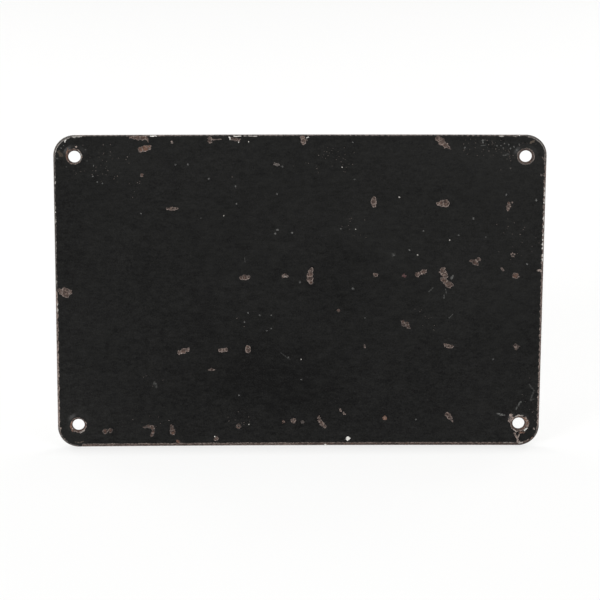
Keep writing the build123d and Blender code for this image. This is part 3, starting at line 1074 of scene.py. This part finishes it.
def grown(name, source, tree, values):
    """Runs a node tree on a mesh and gives the result as a plain object at the origin."""
    carrier = bpy.data.objects.new(name + "_source", source)
    bpy.context.scene.collection.objects.link(carrier)
    modifier = carrier.modifiers.new(tree.name, "NODES")
    modifier.node_group = tree
    for item in tree.interface.items_tree:
        if item.in_out == "INPUT" and item.name in values:
            modifier[item.identifier] = values[item.name]
    graph = bpy.context.evaluated_depsgraph_get()
    evaluated = carrier.evaluated_get(graph)
    mesh = bpy.data.meshes.new_from_object(evaluated, preserve_all_data_layers=True, depsgraph=graph)
    carrier.modifiers.remove(modifier)
    bpy.data.objects.remove(carrier)
    if not mesh.polygons:
        raise RuntimeError(f"{name} came out empty")
    for slot in reversed(range(len(mesh.materials))):
        if mesh.materials[slot] is None:
            mesh.materials.pop(index=slot)
    mesh.name = name
    piece = bpy.data.objects.new(name, mesh)
    bpy.context.scene.collection.objects.link(piece)
    return piece


PRESS_LENGTHS = (
    "Dish Radius", "Dish Top", "Thickness", "Hole X", "Hole Z", "Seat Radius", "Recess Radius",
    "Shoulder Blend", "Foot Blend", "Recess Shoulder Blend", "Recess Foot Blend",
)


def press_tree():
    """Presses the flat layout: dishes it, raises the collars, gives it thickness and sinks the chips."""
    names = [(name, "Float") for name in PRESS_LENGTHS] + [("Flank Slope", "Float")]
    materials = ["Black Glaze", "Broken Glaze", "Rusted Steel", "White Glaze"]
    tree, given = new_tree("press_sheet", *names, *[(name, "Material") for name in materials])
    place = add(tree, "ShaderNodeSeparateXYZ", (add(tree, "GeometryNodeInputPosition").outputs[0],)).outputs
    x, z = place[0], place[2]
    off_x = calc(tree, "SUBTRACT", calc(tree, "ABSOLUTE", x), given["Hole X"])
    off_z = calc(tree, "SUBTRACT", calc(tree, "ABSOLUTE", z), given["Hole Z"])
    squares = calc(tree, "ADD", calc(tree, "POWER", off_x, 2.0), calc(tree, "POWER", off_z, 2.0))
    from_hole = calc(tree, "SQRT", squares)
    from_middle = calc(tree, "ADD", calc(tree, "POWER", x, 2.0), calc(tree, "POWER", z, 2.0))

    def depth(offset, radius, shoulder, foot):
        """Distance from the wall of one face of the sheet."""
        ball = calc(tree, "ADD", given["Dish Radius"], offset)
        rise = calc(tree, "SQRT", calc(tree, "SUBTRACT", calc(tree, "POWER", ball, 2.0), from_middle))
        fall = calc(tree, "DIVIDE", from_middle, calc(tree, "ADD", ball, rise))
        sheet = calc(tree, "SUBTRACT", calc(tree, "ADD", given["Dish Top"], offset), fall)
        flank = calc(tree, "MULTIPLY", calc(tree, "SUBTRACT", from_hole, radius), given["Flank Slope"])
        collar = calc(tree, "ADD", calc(tree, "SMOOTH_MAX", flank, 0.0, shoulder), offset)
        return calc(tree, "SMOOTH_MIN", sheet, collar, foot)

    back = depth(0.0, given["Seat Radius"], given["Shoulder Blend"], given["Foot Blend"])
    front = depth(
        given["Thickness"], given["Recess Radius"], given["Recess Shoulder Blend"], given["Recess Foot Blend"]
    )
    layer = stored(tree, "layer")
    through = calc(tree, "ADD", back, calc(tree, "MULTIPLY", calc(tree, "SUBTRACT", front, back), layer))
    pressed_place = add(tree, "ShaderNodeCombineXYZ", (x, through, z)).outputs[0]
    pressed = add(tree, "GeometryNodeSetPosition", {"Geometry": given["Geometry"], "Position": pressed_place})
    sink = stored(tree, "sink", "FLOAT_VECTOR")
    worn = add(tree, "GeometryNodeSetPosition", {"Geometry": pressed.outputs[0], "Offset": sink})
    smooth = add(tree, "GeometryNodeSetShadeSmooth", {"Geometry": worn.outputs[0], "Shade Smooth": True})
    made = add(tree, "GeometryNodeRealizeInstances", {"Geometry": smooth.outputs[0]}).outputs[0]
    for number, name in enumerate(materials):
        chosen = add(tree, "FunctionNodeCompare", {2: stored(tree, "finish", "INT"), 3: number},
                     data_type="INT", operation="EQUAL").outputs[0]
        made = add(tree, "GeometryNodeSetMaterial", {
            "Geometry": made, "Selection": chosen, "Material": given[name],
        }).outputs[0]
    finish_tree(tree, made)
    return tree


def scatter_tree():
    """Scatters flat lumps over the sheet's reverse where they crowd, each turned and sized at random."""
    tree, given = new_tree(
        "scatter_specks", ("Density", "Float"), ("Clearance", "Float"), ("Smallest", "Vector"), ("Largest", "Vector"),
        ("Palest", "Float"), ("Seed", "Int"), ("Material", "Material"),
    )
    normal = add(tree, "GeometryNodeInputNormal").outputs[0]
    towards_wall = add(tree, "ShaderNodeSeparateXYZ", (normal,)).outputs[1]
    glazed = add(tree, "FunctionNodeCompare", {2: stored(tree, "finish", "INT"), 3: BLACK},
                 data_type="INT", operation="EQUAL").outputs[0]
    depth = add(tree, "ShaderNodeSeparateXYZ", (add(tree, "GeometryNodeInputPosition").outputs[0],)).outputs[1]
    clear = calc(tree, "GREATER_THAN", depth, given["Clearance"])
    on_reverse = calc(tree, "MULTIPLY", clear, calc(tree, "LESS_THAN", towards_wall, -0.9))
    crowd = calc(tree, "SUBTRACT", stored(tree, "crowd"), 0.05, clamp=True)
    density = calc(tree, "MULTIPLY", calc(tree, "MULTIPLY", on_reverse, crowd), given["Density"])
    scattered = add(tree, "GeometryNodeDistributePointsOnFaces", {
        "Mesh": given["Geometry"], "Selection": glazed, "Density": density, "Seed": given["Seed"],
    }, distribute_method="RANDOM")
    lump = add(tree, "GeometryNodeMeshIcoSphere", {"Radius": 1.0, "Subdivisions": 2}).outputs["Mesh"]
    size = add(tree, "FunctionNodeRandomValue", {0: given["Smallest"], 1: given["Largest"], "Seed": given["Seed"]},
               data_type="FLOAT_VECTOR").outputs[0]
    placed = add(tree, "GeometryNodeInstanceOnPoints", {
        "Points": scattered.outputs["Points"], "Instance": lump,
        "Rotation": scattered.outputs["Rotation"], "Scale": size,
    }).outputs[0]
    paleness = add(tree, "FunctionNodeRandomValue", {2: 0.0, 3: given["Palest"], "Seed": given["Seed"]},
                   data_type="FLOAT").outputs[1]
    toned = add(tree, "GeometryNodeStoreNamedAttribute", {
        "Geometry": placed, "Name": "pale", "Value": paleness,
    }, data_type="FLOAT", domain="INSTANCE").outputs[0]
    made = add(tree, "GeometryNodeRealizeInstances", {"Geometry": toned}).outputs[0]
    made = add(tree, "GeometryNodeSetShadeSmooth", {"Geometry": made, "Shade Smooth": True}).outputs[0]
    made = add(tree, "GeometryNodeSetMaterial", {"Geometry": made, "Material": given["Material"]}).outputs[0]
    finish_tree(tree, made)
    return tree


# Finishes

class Finish:
    """A material under way: its tree, its object coordinates and shorthands for its nodes."""

    def __init__(self, name):
        self.material = bpy.data.materials.new(name)
        self.material.use_nodes = True
        self.tree = self.material.node_tree
        self.shader = self.tree.nodes["Principled BSDF"]
        self.place = add(self.tree, "ShaderNodeTexCoord").outputs["Object"]

    def noise(self, size, detail=2.0, roughness=0.5, stretch=None):
        """Noise whose blotches are about size metres across."""
        place = self.place
        if stretch:
            place = add(self.tree, "ShaderNodeMapping", {"Vector": place, "Scale": stretch}).outputs[0]
        inputs = {"Vector": place, "Scale": 1 / size, "Detail": detail, "Roughness": roughness}
        return add(self.tree, "ShaderNodeTexNoise", inputs).outputs["Fac"]

    def between(self, value, low, high, least=0.0, most=1.0):
        """The value, spread from low and high to least and most, and held there."""
        inputs = {"Value": value, "From Min": low, "From Max": high, "To Min": least, "To Max": most}
        return add(self.tree, "ShaderNodeMapRange", inputs).outputs["Result"]

    def stored(self, name):
        """A named attribute of the mesh."""
        return add(self.tree, "ShaderNodeAttribute", attribute_name=name).outputs["Fac"]

    def mix(self, share, one, other):
        """One colour, and the other where share is 1."""
        one, other = ((*c, 1.0) if not isinstance(c, bpy.types.NodeSocket) else c for c in (one, other))
        return add(self.tree, "ShaderNodeMix", {0: share, 6: one, 7: other}, data_type="RGBA").outputs[2]

    def calc(self, operation, *values, clamp=False):
        """The result of a Math node."""
        return calc(self.tree, operation, *values, clamp=clamp)

    def bump(self, height, distance, under=None):
        """A bumped normal, distance metres high."""
        inputs = {"Height": height, "Distance": distance}
        if under:
            inputs["Normal"] = under
        return add(self.tree, "ShaderNodeBump", inputs).outputs[0]

    def done(self, base, roughness, normal, **fixed):
        """Wires the shader. The fixed values stand on its own sockets."""
        for name, value in (("Base Color", base), ("Roughness", roughness), ("Normal", normal)):
            if isinstance(value, bpy.types.NodeSocket):
                self.tree.links.new(value, self.shader.inputs[name])
            else:
                self.shader.inputs[name].default_value = value
        for name, value in fixed.items():
            self.shader.inputs[name.replace("_", " ")].default_value = value
        return self.material


def black_glaze(colours):
    """Old black enamel: haze, dust, wipe marks, scuffs, the ripple of the firing and painted sheen on three collars.
    """
    finish = Finish("black_glaze")
    haze = finish.between(finish.noise(0.06, 6.0, 0.62), 0.36, 0.66)
    mottle = finish.noise(0.0042, 4.0, 0.7, (0.75, 1.0, 1.0))
    wipes = finish.noise(0.0017, 3.0, 0.7, (0.35, 1.0, 1.0))
    # The stored areas add dust, and painted sheen on three of the collars
    film = finish.calc("MULTIPLY", finish.stored("film"), 0.4)
    film = finish.calc("ADD", finish.calc("MULTIPLY", haze, 0.35), film)
    film = finish.calc("ADD", film, finish.stored("to_edge"))
    film = finish.calc("ADD", film, finish.between(mottle, 0.25, 0.75, -0.7, 0.9))
    film = finish.calc("ADD", film, finish.between(wipes, 0.25, 0.75, -0.8, 0.9))
    dust = finish.between(finish.noise(0.0009, 2.0, 0.7), 0.62, 0.74)
    film = finish.calc("ADD", film, finish.calc("MULTIPLY", dust, 2.4))
    fine = finish.noise(0.0008, 3.0)
    film = finish.calc("ADD", film, finish.between(fine, 0.3, 0.7, -0.9, 0.9))
    base = finish.mix(finish.between(film, -1.1, 2.6), colours.black, colours.haze)
    grain = finish.between(fine, 0.38, 0.6)
    scuff = finish.stored("scuff")
    scuffed = finish.calc("MULTIPLY", scuff, finish.calc("ADD", finish.calc("MULTIPLY", grain, 0.7), 0.3))
    base = finish.mix(scuffed, base, SCUFF_GREY)
    stain = finish.calc("MULTIPLY", finish.stored("stain"), finish.calc("ADD", grain, 0.2), clamp=True)
    base = finish.mix(stain, base, STAIN_BROWN)
    dull = finish.calc("ADD", finish.calc("MULTIPLY", haze, 0.06), finish.calc("MULTIPLY", scuff, 0.25))
    rough = finish.calc("ADD", dull, finish.between(mottle, 0.3, 0.7, 0.24, 0.34))
    ripple = finish.bump(finish.noise(0.007, 2.0), 0.00006)
    peel = finish.bump(finish.noise(0.0013, 3.0), 0.00003, under=ripple)
    return finish.done(base, rough, peel, Specular_IOR_Level=0.12)


def white_glaze(colours):
    """White enamel, a little uneven and yellowed, with the ripple of the firing."""
    finish = Finish("white_glaze")
    age = finish.between(finish.noise(0.05, 5.0, 0.6), 0.4, 0.75)
    base = finish.mix(finish.calc("MULTIPLY", age, 0.5), colours.white, YELLOWED_WHITE)
    fine = finish.between(finish.noise(0.0012, 3.0, 0.6), 0.6, 0.8)
    base = finish.mix(finish.calc("MULTIPLY", fine, 0.2), base, WHITE_FLECK)
    ripple = finish.bump(finish.noise(0.006, 2.0), 0.00005)
    peel = finish.bump(finish.noise(0.0012, 2.0), 0.00001, under=ripple)
    return finish.done(base, finish.between(age, 0.0, 1.0, 0.14, 0.24), peel, Specular_IOR_Level=0.5)


def broken_glaze(colours):
    """The pale broken body of the glaze, with dirt in its hollows. warmth takes it from grey to pink."""
    finish = Finish("broken_glaze")
    clumps = finish.between(finish.noise(0.0012, 3.0, 0.65), 0.38, 0.6)
    pale = finish.stored("pale")
    share = finish.calc("ADD", finish.calc("MULTIPLY", clumps, 0.9), finish.calc("MULTIPLY", pale, 0.7))
    share = finish.calc("SUBTRACT", share, 0.45, clamp=True)
    body = finish.mix(finish.between(finish.stored("warmth"), 0.0, 0.3), GREY_GLAZE, colours.broken)
    soil = finish.mix(finish.between(finish.stored("warmth"), 0.0, 0.2), GREY_SOIL, colours.soil)
    base = finish.mix(share, soil, body)
    bright = finish.between(pale, 0.78, 1.0)
    base = finish.mix(bright, base, PALE_GLAZE)
    rough = finish.bump(finish.noise(0.0006, 3.0, 0.6), 0.00012)
    return finish.done(base, 0.55, rough, Specular_IOR_Level=0.35)


def rusted_steel(colours):
    """Bare steel: brown scale in small blisters, pale crumbs of glaze between them, and fresh rust."""
    finish = Finish("rusted_steel")
    blotches = finish.between(finish.noise(0.0017, 4.0, 0.7), 0.4, 0.6)
    pale = finish.stored("pale")
    warmth = finish.stored("warmth")
    share = finish.calc("MULTIPLY", blotches, 0.9)
    share = finish.calc("ADD", share, finish.calc("SUBTRACT", pale, 0.5), clamp=True)
    base = finish.mix(share, colours.dark_rust, colours.bare)
    grains = finish.between(finish.noise(0.0013, 3.0, 0.7), 0.4, 0.6, -0.5, 0.5)
    fresh = finish.calc("MULTIPLY", grains, 0.9)
    fresh = finish.calc("ADD", finish.calc("SUBTRACT", warmth, 0.45), fresh, clamp=True)
    base = finish.mix(finish.calc("MULTIPLY", fresh, 0.8), base, colours.orange_rust)
    base = finish.mix(finish.between(warmth, 1.0, 2.0), base, RED_RUST)
    cells = add(finish.tree, "ShaderNodeTexVoronoi", {"Vector": finish.place, "Scale": 1 / 0.002},
                feature="DISTANCE_TO_EDGE").outputs["Distance"]
    ridges = finish.between(cells, 0.15, 0.04)
    crumbs = finish.calc("MULTIPLY", ridges, finish.between(finish.noise(0.0016, 2.0), 0.42, 0.6))
    crumbs = finish.calc("MULTIPLY", crumbs, finish.between(pale, 0.1, 0.8, 0.1, 0.6))
    base = finish.mix(crumbs, base, colours.broken)
    scale = finish.bump(finish.noise(0.0006, 4.0, 0.65), 0.00014)
    blisters = finish.bump(cells, 0.0002, under=scale)
    return finish.done(base, 0.72, blisters, Specular_IOR_Level=0.3)


def finishes(colours):
    """The four finishes, made once."""
    makers = {
        "Black Glaze": black_glaze, "Broken Glaze": broken_glaze,
        "Rusted Steel": rusted_steel, "White Glaze": white_glaze,
    }
    made = {}
    for name, make in makers.items():
        old = bpy.data.materials.get(name.lower().replace(" ", "_"))
        made[name] = old if old else make(colours)
    return made


# Pieces

class SIGN_OT_sheet(bpy.types.Operator):
    """Makes the pressed and glazed sheet, with every chip and worn edge"""

    bl_idname = "sign.sheet"
    bl_label = "Enamelled Sheet"

    def execute(self, context):
        sizes = context.scene.sign_sizes
        materials = finishes(context.scene.sign_colours)
        hole_x, hole_z = hole_halves(sizes)
        reach = hypot(hole_x, hole_z)
        dish_radius = (reach**2 + sizes.dish_depth**2) / (2 * sizes.dish_depth)
        seat = sizes.seat_diameter / 2
        slope = sizes.collar_rise / (sizes.foot_diameter / 2 - seat)
        half_turn = tan(atan2(slope, 1) / 2)

        def blend(radius):
            """How far a smooth blend has to reach to look like a rounding of that radius."""
            return 1.25 * radius * half_turn * slope

        values = {
            "Dish Radius": dish_radius,
            "Dish Top": sizes.collar_rise + sizes.dish_depth,
            "Thickness": sizes.thickness,
            "Hole X": hole_x,
            "Hole Z": hole_z,
            "Seat Radius": seat,
            "Recess Radius": seat - sizes.thickness * half_turn,
            "Shoulder Blend": blend(sizes.shoulder_rounding + sizes.thickness),
            "Foot Blend": blend(sizes.foot_rounding),
            "Recess Shoulder Blend": blend(sizes.shoulder_rounding),
            "Recess Foot Blend": blend(sizes.foot_rounding + sizes.thickness),
            "Flank Slope": slope,
            **materials,
        }
        piece = grown("sign_sheet", flat_sheet(sizes, materials.values()), press_tree(), values)
        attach(piece, BODY)
        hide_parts(SHEET_NODE)
        return {"FINISHED"}


class SIGN_OT_specks(bpy.types.Operator):
    """Scatters specks of glaze that spat on the reverse while the sheet was fired"""

    bl_idname = "sign.specks"
    bl_label = "Glaze Specks"

    def execute(self, context):
        sheet = bpy.data.objects.get("sign_sheet")
        if sheet is None:
            raise RuntimeError("make the enamelled sheet before its specks")
        sizes = context.scene.sign_sizes
        most = sizes.speck_size / 2
        values = {
            "Density": sizes.speck_density,
            "Clearance": 0.5 * sizes.collar_rise,
            "Smallest": (0.4 * most, 0.35 * most, 0.15 * most),
            "Largest": (most, 0.8 * most, 0.3 * most),
            "Palest": 0.62,
            "Seed": 7,
            "Material": finishes(context.scene.sign_colours)["Broken Glaze"],
        }
        piece = grown("glaze_specks", sheet.data.copy(), scatter_tree(), values)
        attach(piece, BODY)
        return {"FINISHED"}


class SIGN_OT_stage(bpy.types.Operator):
    """Makes the pale floor, the lamps and the camera"""

    bl_idname = "sign.stage"
    bl_label = "Studio"

    def execute(self, context):
        colours = context.scene.sign_colours
        stage = context.scene.sign_stage
        make_floor(colours, stage)
        make_world(stage)
        for name, place, size, power in stage_lamps(stage):
            make_lamp(name, place, size, power)
        make_camera()
        context.scene.view_settings.view_transform = "Standard"
        return {"FINISHED"}


class SignStage(bpy.types.PropertyGroup):
    """The studio's lamps and floor."""

    key_power: power("Key Lamp", "Soft lamp to the left of the camera", 34.0)
    fill_power: power("Fill Lamp", "Soft lamp to the right of the camera", 16.0)
    top_power: power("Top Lamp", "Soft lamp overhead", 16.0)
    back_power: power("Back Lamps", "Each of the two soft lamps behind", 10.0)
    sky: FloatProperty(name="Sky", description="Even light from all round", default=0.32, min=0.0)
    floor_bounce: FloatProperty(
        name="Floor Bounce", description="How much light the floor in front of the sign throws back",
        default=0.08, min=0.0, max=1.0,
    )
    shadow: FloatProperty(
        name="Shadow", description="How much of the floor's shadow the camera sees", default=0.4, min=0.0, max=1.0
    )


def stage_lamps(stage):
    """The lamps, each (name, place, size, power), in metres and watts."""
    return (
        ("key_lamp", (-1.6, -2.0, 0.8), 1.2, stage.key_power),
        ("fill_lamp", (1.9, -1.7, 1.1), 2.2, stage.fill_power),
        ("top_lamp", (0.0, -0.1, 1.7), 1.6, stage.top_power),
        ("back_left_lamp", (-1.2, 1.4, 0.9), 0.8, stage.back_power),
        ("back_right_lamp", (1.2, 1.4, 0.9), 0.8, stage.back_power),
    )


def make_lamp(name, place, size, power):
    """A square soft lamp that faces the sign."""
    lamp = bpy.data.lights.new(name, "AREA")
    lamp.size = size
    lamp.energy = power
    holder = bpy.data.objects.new(name, lamp)
    holder.location = place
    holder.rotation_euler = (-Vector(place)).to_track_quat("-Z", "Y").to_euler()
    bpy.context.scene.collection.objects.link(holder)


FLOOR_GAP = 0.00002  # metres between the sign's lower edge and the floor
FLOOR_REACH = 9.0
FLOOR_GLOW = 1.07  # this times the floor's colour is white to the camera, the gloss and glass
BOUNCE_FALL = (-0.04, -0.22)  # where, along Y, the light that it throws back starts to fall off and ends
SHADOW_FALL = (-0.001, -0.016)  # the same for its shadow
SHADOW_FAR = 0.3  # share of the shadow that is left there


def make_floor(colours, stage):
    """A wide floor that keeps the sign's shadow.

    Camera, gloss and glass see it pale all over. In front of the sign it throws less light back.
    """
    height = cad_low.z - FLOOR_GAP
    reach = FLOOR_REACH
    corners = [(-reach, -reach, height), (reach, -reach, height), (reach, reach, height), (-reach, reach, height)]
    mesh = bpy.data.meshes.new("floor")
    mesh.from_pydata(corners, [], [(0, 1, 2, 3)])
    floor = bpy.data.objects.new("floor", mesh)
    bpy.context.scene.collection.objects.link(floor)
    finish = Finish("floor")
    tree = finish.tree
    tree.nodes.remove(finish.shader)
    place = add(tree, "ShaderNodeSeparateXYZ", (finish.place,)).outputs
    away = finish.between(place[1], *BOUNCE_FALL, 1.0, stage.floor_bounce)
    path = add(tree, "ShaderNodeLightPath").outputs
    mirrored = finish.calc("MAXIMUM", path["Is Glossy Ray"], path["Is Transmission Ray"])
    seen = finish.calc("MAXIMUM", path["Is Camera Ray"], mirrored)
    shade = finish.calc("MAXIMUM", away, seen)
    tint = finish.mix(shade, UNLIT, colours.floor)
    dull = add(tree, "ShaderNodeBsdfDiffuse", {"Color": tint}).outputs[0]
    glow = add(tree, "ShaderNodeEmission", {"Color": tint, "Strength": FLOOR_GLOW}).outputs[0]
    shadow = finish.between(place[1], *SHADOW_FALL, stage.shadow, SHADOW_FAR * stage.shadow)
    share = finish.calc("MULTIPLY", seen, finish.calc("SUBTRACT", 1.0, shadow))
    mixed = add(tree, "ShaderNodeMixShader", {0: share, 1: dull, 2: glow}).outputs[0]
    tree.links.new(mixed, tree.nodes["Material Output"].inputs["Surface"])
    mesh.materials.append(finish.material)


def make_world(stage):
    """An even sky, which camera, gloss and glass see as white."""
    world = bpy.data.worlds.new("studio")
    world.use_nodes = True
    tree = world.node_tree
    path = add(tree, "ShaderNodeLightPath").outputs
    mirrored = calc(tree, "MAXIMUM", path["Is Glossy Ray"], path["Is Transmission Ray"])
    seen = calc(tree, "MAXIMUM", path["Is Camera Ray"], mirrored)
    strength = calc(tree, "ADD", calc(tree, "MULTIPLY", seen, 1 - stage.sky), stage.sky)
    sky = tree.nodes["Background"]
    sky.inputs["Color"].default_value = (1.0, 1.0, 1.0, 1.0)
    tree.links.new(strength, sky.inputs["Strength"])
    bpy.context.scene.world = world


def make_camera():
    """The camera, where the photograph was taken from."""
    data = bpy.data.cameras.new("camera")
    data.sensor_width = PhotoCamera.sensor_width
    data.lens = PhotoCamera.focal_length / PhotoCamera.picture_side * PhotoCamera.sensor_width
    data.clip_end = 50.0
    camera = bpy.data.objects.new("camera", data)
    right, up, forward = PhotoCamera.axes()
    turn = Matrix((right, up, -forward)).transposed().to_4x4()
    camera.matrix_world = Matrix.Translation(PhotoCamera.eye() * MILLIMETRE) @ turn
    bpy.context.scene.collection.objects.link(camera)
    bpy.context.scene.camera = camera


class SIGN_PT_panel(bpy.types.Panel):
    """The sign's sizes, colours and pieces."""

    bl_idname = "SIGN_PT_panel"
    bl_label = "Enamelled Sign"
    bl_space_type = "VIEW_3D"
    bl_region_type = "UI"
    bl_category = "Sign"

    def draw(self, context):
        layout = self.layout
        for group in (context.scene.sign_sizes, context.scene.sign_colours, context.scene.sign_stage):
            box = layout.box()
            for name in group.bl_rna.properties.keys():
                if name not in ("rna_type", "name"):
                    box.prop(group, name)
        for operator in PIECES:
            layout.operator(operator.bl_idname)


PIECES = (SIGN_OT_sheet, SIGN_OT_specks, SIGN_OT_stage)
CLASSES = (SignSizes, SignColours, SignStage, *PIECES, SIGN_PT_panel)


def register():
    """Adds the classes and the settings that they keep in a scene."""
    for one in CLASSES:
        bpy.utils.register_class(one)
    bpy.types.Scene.sign_sizes = PointerProperty(type=SignSizes)
    bpy.types.Scene.sign_colours = PointerProperty(type=SignColours)
    bpy.types.Scene.sign_stage = PointerProperty(type=SignStage)


def unregister():
    """Takes them away again."""
    del bpy.types.Scene.sign_stage
    del bpy.types.Scene.sign_colours
    del bpy.types.Scene.sign_sizes
    for one in reversed(CLASSES):
        bpy.utils.unregister_class(one)


def main():
    """Makes the whole scene."""
    register()
    bpy.ops.sign.sheet()
    bpy.ops.sign.specks()
    bpy.ops.sign.stage()


if __name__ == "__main__":
    main()
